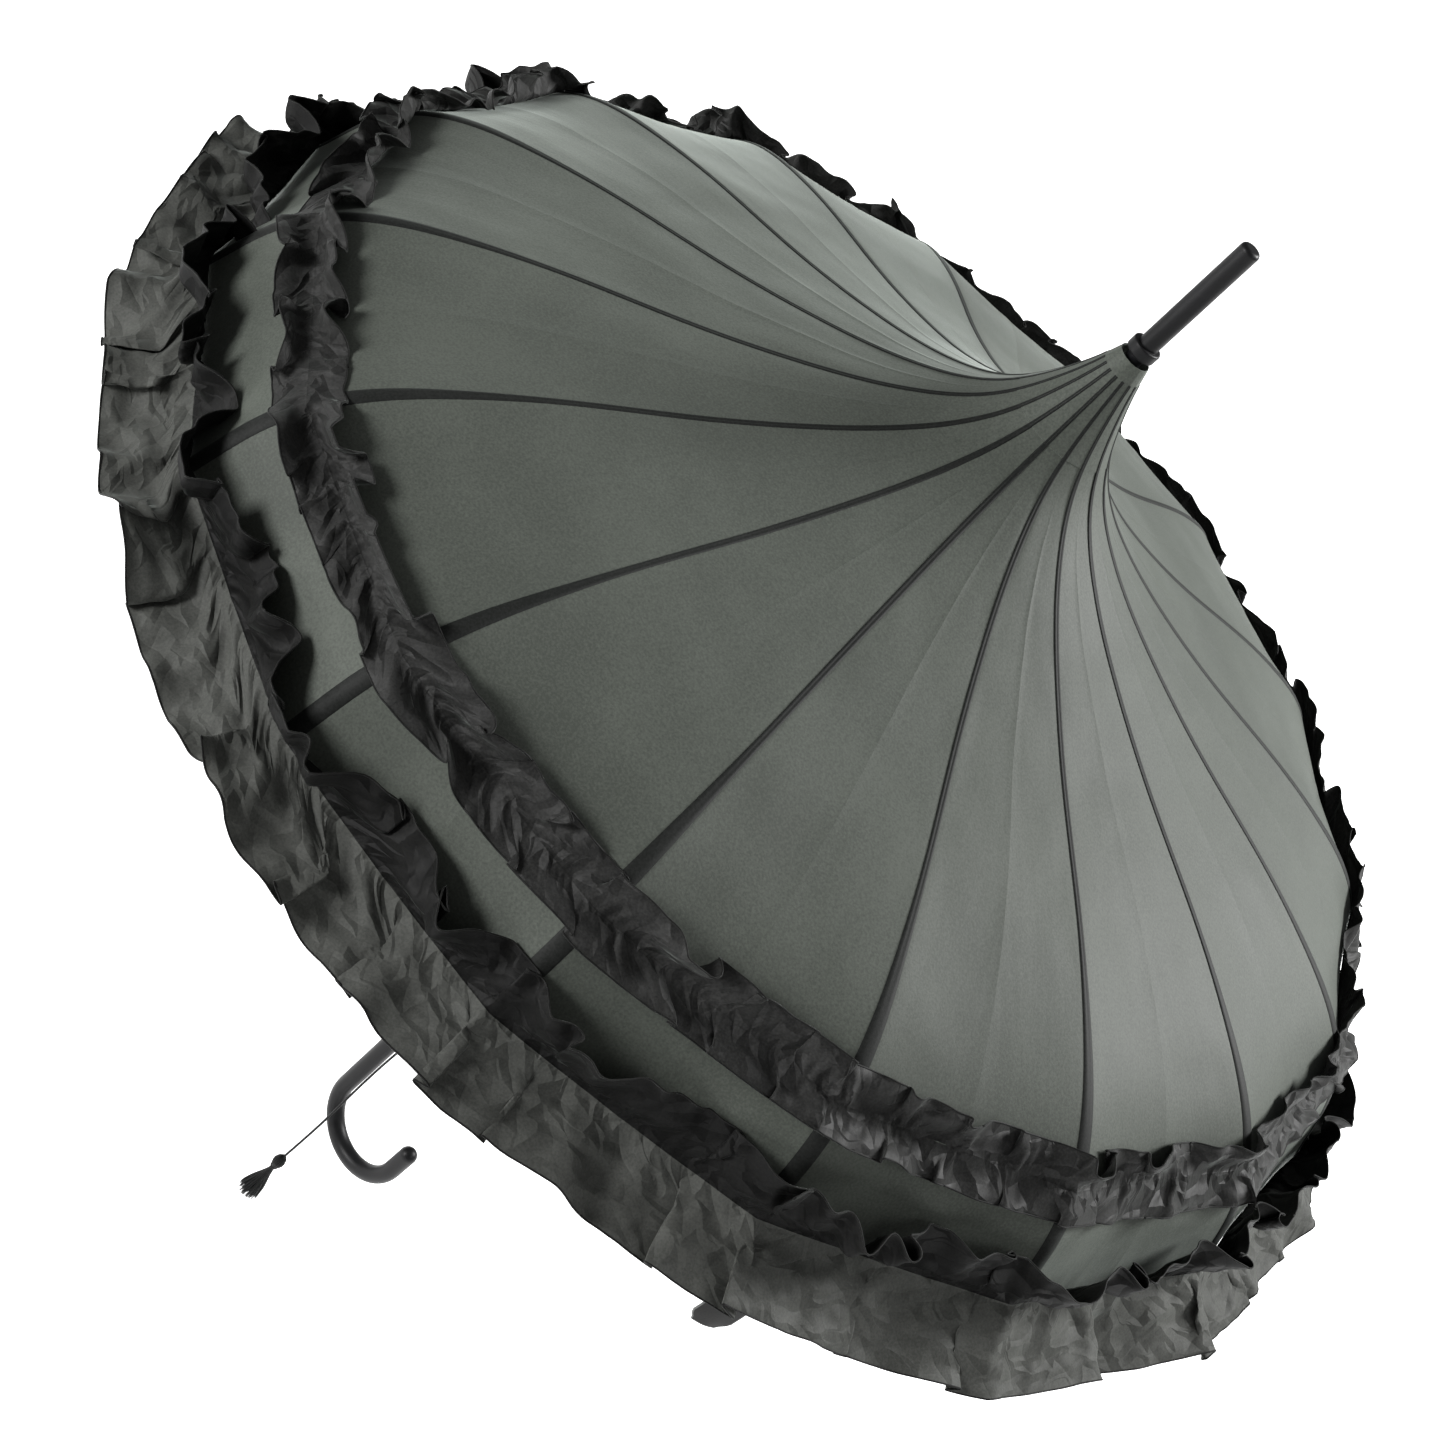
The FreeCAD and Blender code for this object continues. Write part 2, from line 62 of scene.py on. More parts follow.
# The cloth's line along a rib, from the crest under the collar to the hem: radius and drop below the tip,
# in mm.
OUTLINE = [(9.2, 85), (12.5, 96), (22, 120), (40, 149), (75, 176), (130, 200.5), (190, 220), (250, 236),
           (310, 255.5), (358, 279), (386, 308), (400, 340), (408, 361)]
# Where the ribs fold: the cloth above it stays with the frame, and the cloth below it moves.
SPLIT_RADIUS = 0.031
CLOTH = 0.35 * MM
# Azimuth of the side where the frills are most rumpled.
LOOSE_SIDE = math.radians(-135)
SEED = 7
# The frills: radius of the gathering thread, widths above and below it, and the width each is cut to.
STRIP_THREAD, STRIP_ABOVE, STRIP_BELOW, STRIP_CUT = 0.3735, 0.0185, 0.0175, 0.036
FLOUNCE_THREAD, FLOUNCE_ABOVE, FLOUNCE_BELOW, FLOUNCE_CUT = 0.4045, 0.031, 0.047, 0.077
FRILL_STEP = 0.002
FRILL_CLOTH = 0.25 * MM
HEM_ROLL = 0.5 * MM
# The closing strap.
STRAP_RIB, STRAP_LENGTH, STRAP_HALF_WIDTH = 14, 0.078, 0.011


# ---- curves and small mesh helpers ----

def natural_spline(points):
    """The cubic spline through the points; gives place and slope at distances along its chords."""
    points = np.array(points, float)
    knots = np.concatenate([[0], np.cumsum(np.linalg.norm(np.diff(points, axis=0), axis=1))])
    steps = np.diff(knots)
    count = len(points)
    system = np.eye(count)
    pull = np.zeros((count, points.shape[1]))
    for row in range(1, count - 1):
        system[row, row - 1:row + 2] = steps[row - 1], 2 * (steps[row - 1] + steps[row]), steps[row]
        after = (points[row + 1] - points[row]) / steps[row]
        before = (points[row] - points[row - 1]) / steps[row - 1]
        pull[row] = 6 * (after - before)
    bend = np.linalg.solve(system, pull)

    def at(distance):
        distance = np.asarray(distance, float)
        span = np.clip(np.searchsorted(knots, distance, side="right") - 1, 0, count - 2)
        step = steps[span][..., None]
        first = (knots[span + 1] - distance)[..., None] / step
        second = 1 - first
        place = (first * points[span] + second * points[span + 1]
                 + ((first ** 3 - first) * bend[span]
                    + (second ** 3 - second) * bend[span + 1]) * step ** 2 / 6)
        slope = ((points[span + 1] - points[span]) / step
                 - (3 * first ** 2 - 1) / 6 * step * bend[span]
                 + (3 * second ** 2 - 1) / 6 * step * bend[span + 1])
        return place, slope

    return at, knots[-1]


outline_at, OUTLINE_LENGTH = natural_spline([(radius * MM, TIP - drop * MM) for radius, drop in OUTLINE])


def distance_at(radius):
    """How far along the outline its radius is reached."""
    distances = np.linspace(0, OUTLINE_LENGTH, 2000)
    return float(np.interp(radius, outline_at(distances)[0][:, 0], distances))


def smooth_step(value):
    """From 0 to 1 with level ends."""
    value = np.clip(value, 0, 1)
    return value * value * (3 - 2 * value)


def turned(points, angle):
    """Points turned about the shaft's axis."""
    cosine, sine = math.cos(angle), math.sin(angle)
    x, y, z = points[..., 0], points[..., 1], points[..., 2]
    return np.stack([x * cosine - y * sine, x * sine + y * cosine, z], -1)


def noise_at(points, scale, offset=0.0):
    """Smooth noise from -1 to 1 at each point."""
    flat = np.asarray(points, float).reshape(-1, 3) * scale + offset
    values = [noise.noise(Vector(place)) for place in flat]
    return np.array(values).reshape(np.asarray(points).shape[:-1])


def grid_object(name, points, across, along, material):
    """A sheet from a grid of points, with a UV map in metres: across the cloth, and along it."""
    rows, columns = points.shape[:2]
    index = np.arange(rows * columns).reshape(rows, columns)
    faces = np.stack([index[:-1, :-1], index[:-1, 1:], index[1:, 1:], index[1:, :-1]], -1).reshape(-1, 4)
    mesh = bpy.data.meshes.new(name)
    mesh.from_pydata(points.reshape(-1, 3).tolist(), [], faces.tolist())
    layer = mesh.uv_layers.new(name="cloth")
    both = np.stack([np.broadcast_to(across, (rows, columns)), np.broadcast_to(along, (rows, columns))], -1)
    layer.data.foreach_set("uv", both.reshape(-1, 2)[faces.reshape(-1)].astype(np.float32).ravel())
    mesh.polygons.foreach_set("use_smooth", [True] * len(faces))
    sharpen_border(mesh, rows, columns)
    mesh.materials.append(material)
    thing = bpy.data.objects.new(name, mesh)
    bpy.context.scene.collection.objects.link(thing)
    return thing


def sharpen_border(mesh, rows, columns):
    """Keep the edges round the sheet sharp, so that its thickness doesn't shade into its face."""
    for edge in mesh.edges:
        (row, column), (other_row, other_column) = (divmod(number, columns) for number in edge.vertices)
        on_side = column == other_column and column in (0, columns - 1)
        on_end = row == other_row and row in (0, rows - 1)
        edge.use_edge_sharp = on_side or on_end


def tube_points(path, radius, sides):
    """Rings of points round a path, with no twist."""
    path = np.asarray(path, float)
    along = np.gradient(path, axis=0)
    along /= np.linalg.norm(along, axis=1, keepdims=True) + 1e-12
    side = np.cross(along[0], [0.31, 0.17, 0.93])
    rings = []
    for place, direction in zip(path, along):
        side = side - direction * (side @ direction)
        side /= np.linalg.norm(side) + 1e-12
        other = np.cross(direction, side)
        turns = np.linspace(0, 2 * math.pi, sides, endpoint=False)
        rings.append(place + radius * (np.cos(turns)[:, None] * side + np.sin(turns)[:, None] * other))
    return np.array(rings)


def tubes_object(name, paths, radius, sides, material):
    """Several round strands as one object, each closed at both ends."""
    places, faces = [], []
    for path in paths:
        rings = tube_points(path, radius, sides)
        start = len(places)
        places += rings.reshape(-1, 3).tolist()
        for ring in range(len(rings) - 1):
            low = start + ring * sides
            for side in range(sides):
                after = (side + 1) % sides
                faces.append((low + side, low + after, low + sides + after, low + sides + side))
        last = start + (len(rings) - 1) * sides
        faces.append(tuple(range(start + sides - 1, start - 1, -1)))
        faces.append(tuple(range(last, last + sides)))
    mesh = bpy.data.meshes.new(name)
    mesh.from_pydata(places, [], faces)
    mesh.polygons.foreach_set("use_smooth", [True] * len(faces))
    mesh.materials.append(material)
    thing = bpy.data.objects.new(name, mesh)
    bpy.context.scene.collection.objects.link(thing)
    return thing


def thicken(thing, thickness):
    """Give a sheet its thickness, half on each side."""
    solid = thing.modifiers.new("thickness", "SOLIDIFY")
    solid.thickness = thickness
    solid.offset = 0
    return thing


# ---- materials ----

def new_material(name):
    """A material, its nodes and links, and its shader."""
    material = bpy.data.materials.new(name)
    material.use_nodes = True
    nodes = material.node_tree.nodes
    return material, nodes, material.node_tree.links, nodes["Principled BSDF"]


def add_node(nodes, kind, **values):
    """A node with its properties and its input sockets set by name."""
    made = nodes.new("ShaderNode" + kind)
    for name, value in values.items():
        if hasattr(made, name):
            setattr(made, name, value)
        else:
            made.inputs[name.replace("_", " ")].default_value = value
    return made


def ramp(nodes, links, source, stops):
    """A colour, or a plain value, for each height of the source."""
    made = nodes.new("ShaderNodeValToRGB")
    elements = made.color_ramp.elements
    while len(elements) < len(stops):
        elements.new(0.5)
    for element, (place, color) in zip(elements, stops):
        element.position = place
        element.color = (*color, 1) if hasattr(color, "__len__") else (color, color, color, 1)
    links.new(source, made.inputs["Fac"])
    return made.outputs["Color"]


def math_node(nodes, links, operation, first, second=None):
    """One sum on numbers or sockets."""
    made = nodes.new("ShaderNodeMath")
    made.operation = operation
    for socket, value in zip(made.inputs, (first, second)):
        if value is None:
            continue
        if isinstance(value, (int, float)):
            socket.default_value = value
        else:
            links.new(value, socket)
    return made.outputs[0]


def stretched(nodes, links, source, scale, turn=0.0):
    """Texture coordinates scaled along each axis of the cloth."""
    mapping = nodes.new("ShaderNodeMapping")
    mapping.inputs["Scale"].default_value = scale
    mapping.inputs["Rotation"].default_value = (0, 0, turn)
    links.new(source, mapping.inputs["Vector"])
    return mapping.outputs["Vector"]


def crumple_height(nodes, links, cloth):
    """Sharp creases between flat facets, and short puckers beside the gathering thread, in millimetres."""
    wander = add_node(nodes, "TexNoise", Scale=30.0, Detail=2.0)
    links.new(cloth, wander.inputs["Vector"])
    bent = nodes.new("ShaderNodeMixRGB")
    bent.blend_type = "LINEAR_LIGHT"
    bent.inputs["Fac"].default_value = 0.012
    links.new(cloth, bent.inputs["Color1"])
    links.new(wander.outputs["Color"], bent.inputs["Color2"])
    facets = nodes.new("ShaderNodeTexVoronoi")
    facets.distance = "MANHATTAN"
    facets.inputs["Scale"].default_value = 1.0
    links.new(stretched(nodes, links, bent.outputs["Color"], (48.0, 72.0, 1.0), 0.5), facets.inputs["Vector"])
    total = math_node(nodes, links, "MULTIPLY", facets.outputs["Distance"], 8.5)
    puckers = add_node(nodes, "TexNoise", Scale=1.0, Detail=2.0)
    links.new(stretched(nodes, links, bent.outputs["Color"], (120.0, 50.0, 1.0)), puckers.inputs["Vector"])
    parts = nodes.new("ShaderNodeSeparateXYZ")
    links.new(cloth, parts.inputs["Vector"])
    off_thread = math_node(nodes, links, "ABSOLUTE", parts.outputs["Y"])

    def fading(rate):
        """A share that falls from 1 at the thread, faster for a higher rate."""
        return math_node(nodes, links, "POWER", 0.0008, math_node(nodes, links, "MULTIPLY", off_thread, rate))

    deep = math_node(nodes, links, "MULTIPLY", puckers.outputs["Fac"], fading(20.0))
    deep = math_node(nodes, links, "MULTIPLY", deep, 5.0)
    left = math_node(nodes, links, "MULTIPLY", fading(7.0), 0.6)
    left = math_node(nodes, links, "ADD", left, 0.4)
    return math_node(nodes, links, "ADD", math_node(nodes, links, "MULTIPLY", total, left), deep)


def drag_height(nodes, links, cloth):
    """Faint lines of strain that run down the stretched cloth, in millimetres."""
    lines = add_node(nodes, "TexNoise", Scale=1.0, Detail=3.0)
    links.new(stretched(nodes, links, cloth, (55.0, 7.0, 1.0)), lines.inputs["Vector"])
    return math_node(nodes, links, "MULTIPLY", lines.outputs["Fac"], 0.6)


def cloth_material(name, dark, light, roughness, sheen, weave_mm, specular=0.12, folds=None):
    """Woven cloth: a fine weave and its folds in the bump, speckled colour and a soft sheen."""
    material, nodes, links, shader = new_material(name)
    place = add_node(nodes, "TexCoord")
    cloth = place.outputs["UV"]
    weave = nodes.new("ShaderNodeTexVoronoi")
    weave.inputs["Scale"].default_value = 1000 / weave_mm
    links.new(cloth, weave.inputs["Vector"])
    grain = add_node(nodes, "TexNoise", Scale=800.0, Detail=3.0)
    links.new(place.outputs["Object"], grain.inputs["Vector"])
    slow = add_node(nodes, "TexNoise", Scale=14.0, Detail=4.0)
    links.new(place.outputs["Object"], slow.inputs["Vector"])
    mixed = math_node(nodes, links, "ADD", math_node(nodes, links, "MULTIPLY", grain.outputs["Fac"], 0.65),
                      math_node(nodes, links, "MULTIPLY", slow.outputs["Fac"], 0.35))
    color = ramp(nodes, links, mixed, [(0.38, dark), (0.62, light)])
    links.new(color, shader.inputs["Base Color"])
    height = math_node(nodes, links, "ADD", weave.outputs["Distance"], grain.outputs["Fac"])
    height = math_node(nodes, links, "MULTIPLY", height, 0.05)
    if folds:
        height = math_node(nodes, links, "ADD", height, folds(nodes, links, cloth))
    bump = add_node(nodes, "Bump", Strength=0.6, Distance=MM)
    links.new(height, bump.inputs["Height"])
    links.new(bump.outputs["Normal"], shader.inputs["Normal"])
    links.new(ramp(nodes, links, slow.outputs["Fac"], [(0.3, roughness - 0.02), (0.7, roughness + 0.02)]),
              shader.inputs["Roughness"])
    shader.inputs["Specular IOR Level"].default_value = specular
    shader.inputs["Sheen Weight"].default_value = sheen
    shader.inputs["Sheen Roughness"].default_value = 0.35
    shader.inputs["Sheen Tint"].default_value = (0.82, 0.9, 0.84, 1)
    return material


def hard_material(name, dark, light, roughness, metallic=0.0):
    """Moulded plastic or painted metal with a faint grain and uneven gloss."""
    material, nodes, links, shader = new_material(name)
    place = add_node(nodes, "TexCoord")
    grain = add_node(nodes, "TexNoise", Scale=700.0, Detail=4.0)
    links.new(place.outputs["Object"], grain.inputs["Vector"])
    smear = add_node(nodes, "TexNoise", Scale=35.0, Detail=5.0)
    links.new(place.outputs["Object"], smear.inputs["Vector"])
    links.new(ramp(nodes, links, smear.outputs["Fac"], [(0.3, dark), (0.7, light)]),
              shader.inputs["Base Color"])
    links.new(ramp(nodes, links, smear.outputs["Fac"], [(0.3, roughness - 0.06), (0.7, roughness + 0.08)]),
              shader.inputs["Roughness"])
    bump = add_node(nodes, "Bump", Strength=0.3, Distance=0.02 * MM)
    links.new(grain.outputs["Fac"], bump.inputs["Height"])
    links.new(bump.outputs["Normal"], shader.inputs["Normal"])
    shader.inputs["Metallic"].default_value = metallic
    shader.inputs["Specular IOR Level"].default_value = 0.2
    return material


SATIN = cloth_material("canopy_satin", (0.066, 0.073, 0.063), (0.098, 0.108, 0.093), 0.56, 0.4, 0.5,
                       specular=0.14, folds=drag_height)
SEAM = cloth_material("seam_satin", (0.011, 0.012, 0.011), (0.02, 0.021, 0.02), 0.6, 0.15, 0.5)
TAFFETA = cloth_material("flounce_taffeta", (0.058, 0.06, 0.055), (0.084, 0.086, 0.079), 0.62, 0.12, 0.4,
                         folds=crumple_height)
STRIP = cloth_material("gathered_taffeta", (0.019, 0.019, 0.0185), (0.035, 0.035, 0.034), 0.55, 0.1, 0.4,
                       specular=0.12, folds=crumple_height)
# The header is the same taffeta as the flounce below its thread; this copy is made far darker, which paints
# the shade on the header.
HEADER_PAINTED_SHADE = cloth_material("header_taffeta_painted_shade", (0.005, 0.005, 0.005), (0.01, 0.01, 0.0095), 0.55, 0.03, 0.4,
                        specular=0.1, folds=crumple_height)
RIBBON = cloth_material("strap_ribbon", (0.003, 0.003, 0.003), (0.007, 0.007, 0.0065), 0.55, 0.04, 0.6)
# A pale grey line round the edge of the dark strap.
STRAP_PALE_EDGE = cloth_material("strap_pale_edge", (0.09, 0.092, 0.09), (0.15, 0.153, 0.15), 0.55, 0.1, 0.4)
HEM = cloth_material("hem_thread", (0.008, 0.008, 0.008), (0.014, 0.014, 0.013), 0.6, 0.1, 0.35)
CORD = cloth_material("silk_cord", (0.003, 0.003, 0.003), (0.007, 0.007, 0.0075), 0.5, 0.1, 0.3)
PLASTIC = hard_material("black_plastic_finish", (0.005, 0.005, 0.0055), (0.01, 0.01, 0.011), 0.44)
ENAMEL = hard_material("black_enamel", (0.008, 0.008, 0.009), (0.016, 0.016, 0.018), 0.3, metallic=0.3)
STEEL = hard_material("spring_steel_finish", (0.36, 0.36, 0.37), (0.5, 0.5, 0.51), 0.3, metallic=1.0)


# ---- the canopy ----

def cloth_point(distance, offset, rib, lift=0.0):
    """Points of the cloth near a rib, all turned back to rib 0.

    distance is measured down the outline, offset is the azimuth from the rib, and lift is out from the cloth.
    """
    distance, offset = np.broadcast_arrays(np.asarray(distance, float), np.asarray(offset, float))
    place, slope = outline_at(distance)
    slope = slope / np.linalg.norm(slope, axis=-1, keepdims=True)
    beside = np.abs(offset)
    share = beside / HALF_PANEL
    chord = math.cos(HALF_PANEL) / np.cos(HALF_PANEL - beside)
    down = distance / OUTLINE_LENGTH
    sag = (smooth_step((down - 0.35) / 0.6) - 0.35) * (1 - math.cos(HALF_PANEL)) * place[..., 0]
    sag = sag * share * (2 - share)
    radius = place[..., 0] * chord - sag * 0.45
    height = place[..., 1] - sag * 0.8
    points = np.stack([radius * np.cos(offset), radius * np.sin(offset), height], -1)
    real = turned(points, rib * RIB_STEP)
    ripple = noise_at(real, 18.0) * 0.9 + noise_at(real, 45.0, 5.0) * 0.35
    ripple = ripple * MM * smooth_step(share * 3) * smooth_step(down * 4)
    crease = 0.25 * MM * smooth_step((share - 0.9) / 0.1) * smooth_step((down - 0.12) * 6)
    rise = lift + ripple + crease
    normal = np.stack([-slope[..., 1] * np.cos(offset), -slope[..., 1] * np.sin(offset), slope[..., 0]], -1)
    return points + normal * rise[..., None]


def make_petals():
    """One gore-wide sheet for each rib, from the spire to the hem, split at the middle of each panel."""
    start = distance_at(SPLIT_RADIUS - 0.003)
    distance = np.linspace(start, OUTLINE_LENGTH, 96)[:, None]
    offset = np.linspace(-HALF_PANEL, HALF_PANEL, 25)[None, :]
    petals = []
    for rib in range(RIBS):
        points = cloth_point(distance, offset, rib)
        radius = outline_at(distance)[0][..., 0]
        petal = grid_object(f"petal_{rib:02d}", turned(points, rib * RIB_STEP), radius * offset,
                            distance + 0 * offset, SATIN)
        thicken(petal, CLOTH)
        petals.append(petal)
    return petals


def make_seams(name, first, last):
    """A felled seam down each rib, which widens into the pocket that takes the rib's tip."""
    seams = []
    distance = np.linspace(first, last, 20 + int((last - first) / 0.004))[:, None]
    width = (0.9 + 0.9 * smooth_step(distance / 0.12) + 3.2 * smooth_step((distance - 0.3) / 0.16)) * MM
    for rib in range(RIBS):
        steps = np.array([-1, -0.8, -0.3, 0, 0.3, 0.8, 1])[None, :]
        rises = np.array([0.15, 0.55, 0.5, 0.25, 0.5, 0.55, 0.15])[None, :] * MM
        radius = outline_at(distance)[0][..., 0]
        offset = steps * width / radius
        points = cloth_point(distance, offset, rib, rises + 0 * distance)
        seam = grid_object(f"{name}_{rib:02d}", turned(points, rib * RIB_STEP), radius * offset,
                           distance + 0 * offset, SEAM)
        seams.append(thicken(seam, 0.3 * MM))
    return seams


def make_spire():
    """The cloth above the ribs' fold, in one piece all round."""
    distance = np.linspace(0, distance_at(SPLIT_RADIUS + 0.002), 30)[:, None]
    pieces = []
    for rib in range(RIBS):
        offset = np.linspace(-HALF_PANEL, HALF_PANEL, 9)[None, :]
        points = cloth_point(distance, offset, rib, 0.25 * MM + 0 * distance)
        pieces.append(turned(points, rib * RIB_STEP)[:, :-1])
    ring = np.concatenate(pieces, axis=1)
    ring = np.concatenate([ring, ring[:, :1]], axis=1)
    turns = np.linspace(0, 2 * math.pi, ring.shape[1])[None, :]
    spire = grid_object("spire_cloth", ring, turns * 0.02, distance + 0 * turns, SATIN)
    return thicken(spire, CLOTH)


# ---- the frills ----

def wrap_smooth(values, spread):
    """A closed run of values smoothed by a bell of the given width in samples."""
    reach = int(4 * spread) + 1
    bell = np.exp(-0.5 * (np.arange(-reach, reach + 1) / spread) ** 2)
    bell /= bell.sum()
    return np.convolve(np.concatenate([values[-reach:], values, values[:reach]]), bell, mode="valid")


def facets_at(along, across, cells, seed):
    """Flat slopes that meet in sharp creases, as in crumpled cloth.

    It is the distance, measured along the two axes, to the nearest of the points scattered one to each unit
    cell. It repeats after the given count of cells.
    """
    nearest = np.full(np.broadcast(along, across).shape, 9.0)
    first, row = np.floor(along), np.floor(across)
    for beside in (-1, 0, 1):
        for over in (-1, 0, 1):
            spot = np.mod(first + beside, cells) * 127.1 + (row + over) * 311.7 + seed * 74.7
            place = first + beside + np.abs(np.modf(np.sin(spot) * 4375.8)[0])
            level = row + over + np.abs(np.modf(np.sin(spot * 1.7 + 9.2) * 4375.8)[0])
            nearest = np.minimum(nearest, np.abs(place - along) + np.abs(level - across))
    return nearest


def fold_edge(rng, ring, plate, tuck, step):
    """The free edge of a gathered strip as flat plates with tucks between them.

    Gives, at even steps along the cloth, the place round the ring, the shift from that place, and how far the
    edge swings out, from about -1 to 1.
    """
    corners, place = [], 0.0
    while place < ring:
        width = rng.uniform(*plate)
        back = rng.uniform(*tuck)
        low, high = -rng.uniform(0.2, 1), rng.uniform(0.2, 1)
        if rng.random() < 0.4:
            low, high = high, low
        corners.append((place - back / 2, low))
        corners.append((place + width + back / 2, high))
        place += width
    corners = np.array(corners)
    corners[:, 0] *= ring / place
    corners = np.vstack([corners, corners[0] + [ring, 0]])
    lengths = np.concatenate([[0], np.cumsum(np.hypot(*np.diff(corners * [1, 0.004], axis=0).T))])
    count = int(lengths[-1] / step)
    cloth = np.linspace(0, lengths[-1], count, endpoint=False)
    along = np.interp(cloth, lengths, corners[:, 0])
    swing = np.interp(cloth, lengths, corners[:, 1])
    even = cloth / lengths[-1] * ring
    return cloth, even, wrap_smooth(along - even, 1.2), wrap_smooth(swing, 1.6)


def frill_points(rng_seed, gather, widths, path, folds, tilts, crumple, pucker, floor):
    """A gathered strip as a closed grid of points, sewn to the cloth along one line of its outline.

    widths are the distances from the gathering thread to each row, and path gives, for each of them, how far
    the row stands out from the thread in radius and in height. tilts are the mean and the spread, in degrees,
    of the part above the thread and of the part below it. floor is the lowest slope of a fold below it.
    """
    rng = np.random.default_rng(rng_seed)
    ring = 2 * math.pi * float(outline_at(gather)[0][0])
    cloth, even, shift, swing = fold_edge(rng, ring, *folds, FRILL_STEP)
    widths = np.asarray(widths, float)[:, None]
    grown = smooth_step(np.abs(widths) / 0.02)
    along = even[None, :] + shift[None, :] * grown
    turn = along / ring * 2 * math.pi
    thread = even / ring * 2 * math.pi
    rib = np.round(thread / RIB_STEP)
    offset = thread - rib * RIB_STEP
    seat = np.array([cloth_point(gather, part, 0, 0.8 * MM) for part in offset])
    radius = np.hypot(seat[:, 0], seat[:, 1])[None, :]
    level = seat[:, 2][None, :]
    around = np.stack([np.cos(thread), np.sin(thread), 0 * thread + rng_seed], -1) * ring / (2 * math.pi)
    above = noise_at(around, 26.0, rng_seed * 1.3) + 0.6 * noise_at(around, 75.0, rng_seed * 2.9)
    below = noise_at(around, 20.0, rng_seed * 4.3) + 0.6 * noise_at(around, 60.0, rng_seed * 0.7)
    loose = 1 + 1.1 * smooth_step((np.cos(thread - LOOSE_SIDE) - 0.4) / 0.5)
    tilt_above = np.minimum(tilts[0][0] + tilts[0][1] * (0.55 * swing + 1.3 * above) * loose, 58)
    tilt_below = tilts[1][0] + tilts[1][1] * (0.55 * swing + 1.3 * below) * loose + 8 * (loose - 1)
    tilt = np.radians(np.where(widths < 0, tilt_above[None, :], tilt_below[None, :])) * smooth_step(
        0.25 + np.abs(widths) / 0.02)
    reach = widths * np.cos(tilt)
    out, up = path(reach)
    slope_out, slope_up = path(reach + 1e-4)
    lean = np.hypot(slope_out - out, slope_up - up)
    normal_out, normal_up = -(slope_up - up) / lean, (slope_out - out) / lean
    domain = np.stack(np.broadcast_arrays(cloth[None, :], widths, 0 * widths), -1)
    creases = noise_at(domain, 30.0, rng_seed * 3.1)
    flutes = noise_at(domain * [1, 0.3, 1], 40.0, rng_seed * 2.3)
    fine = noise_at(domain * [1, 0.6, 1], 85.0, rng_seed * 1.7)
    rise = np.abs(widths) * np.sin(tilt)
    rise = rise + crumple * MM * (0.6 - 2.4 * np.abs(creases) + 0.7 * np.abs(flutes) + 0.5 * fine) * grown
    total = cloth[-1] + cloth[1]
    cells = round(total * 34)
    across = widths * 50 + 9.5 * rng_seed
    facets = facets_at(cloth[None, :] / total * cells + 0.5 * across + 0.5 * creases, across + 0.4 * flutes,
                       cells, rng_seed)
    near = 0.3 + 0.7 * np.exp(-np.abs(widths) / 0.02)
    rise = rise + 8.0 * MM * (facets - 0.45) * near * grown
    fan = cloth[None, :] + 0.25 * noise_at(domain, 16.0, 3.3 * rng_seed) * np.abs(widths)
    side = np.where(widths < 0, 0.0, 7.7)
    gathers = noise_at(np.stack(np.broadcast_arrays(fan * 105, side, rng_seed), -1), 1.0)
    bunched = smooth_step(0.4 + 2.2 * noise_at(around, 38.0, 8.1 * rng_seed))[None, :]
    gathers = (np.abs(gathers) * 2.6 - 0.4) * (0.1 + 1.1 * bunched)
    reach_of_gathers = 0.003 + 0.005 * bunched
    gathers = gathers * smooth_step(np.abs(widths) / 0.003) * np.exp(-np.abs(widths) / reach_of_gathers)
    rise = rise + gathers * pucker * 1.7 * MM
    rise = np.maximum(rise, np.where(widths < 0, 0.06, floor) * np.abs(widths))
    radial = radius + out + normal_out * rise
    points = np.stack([radial * np.cos(turn), radial * np.sin(turn), level + up + normal_up * rise], -1)
    return points, cloth, thread


def split_frill(name, points, cloth, thread, widths, above, below):
    """Cut a closed frill into one piece for each rib, with a rolled hem on its free edges.

    above and below are the materials on the two sides of the gathering thread.
    """
    pieces = []
    ends = [int(np.searchsorted(thread, (rib + 0.5) * RIB_STEP)) for rib in range(-1, RIBS)]
    ends[0] = ends[-1] - len(thread)
    widths = np.asarray(widths, float)[:, None]
    for rib in range(RIBS):
        columns = np.arange(ends[rib], ends[rib + 1] + 1)
        wrapped = columns % len(thread)
        part = points[:, wrapped]
        across = cloth[0] + columns[None, :] * (cloth[1] - cloth[0])
        piece = grid_object(f"{name}_{rib:02d}", part, across, widths, above)
        piece.data.materials.append(below)
        for face in piece.data.polygons:
            row = face.index // (len(columns) - 1)
            face.material_index = 0 if widths[row, 0] < -1e-6 else 1
        thicken(piece, FRILL_CLOTH)
        hem = tubes_object(f"{name}_hem_{rib:02d}", [part[0], part[-1]], HEM_ROLL, 6, HEM)
        pieces.append((piece, hem))
    return pieces


def bent_path(start_angle, end_angle, reach):
    """A line that leaves the thread at one angle and bends evenly to another; widths may be negative."""
    def path(widths):
        share = np.linspace(0, 1, 40)
        length = np.abs(widths)[..., None] * share
        angle = np.radians(start_angle + (end_angle - start_angle) * np.clip(length / reach, 0, 1))
        step = np.abs(widths) / 39
        return (np.cos(angle)[..., :-1].sum(-1) * step, np.sin(angle)[..., :-1].sum(-1) * step)
    return path


def following_path(gather, lift):
    """A line that follows the cloth's outline on both sides of the thread and stands off it further out."""
    def path(widths):
        place, slope = outline_at(gather + widths)
        slope = slope / np.linalg.norm(slope, axis=-1, keepdims=True)
        stand = lift * smooth_step(np.abs(widths) / 0.016)
        out = place[..., 0] - slope[..., 1] * stand - outline_at(gather)[0][0]
        up = place[..., 1] + slope[..., 0] * stand - outline_at(gather)[0][1]
        return out, up
    return path


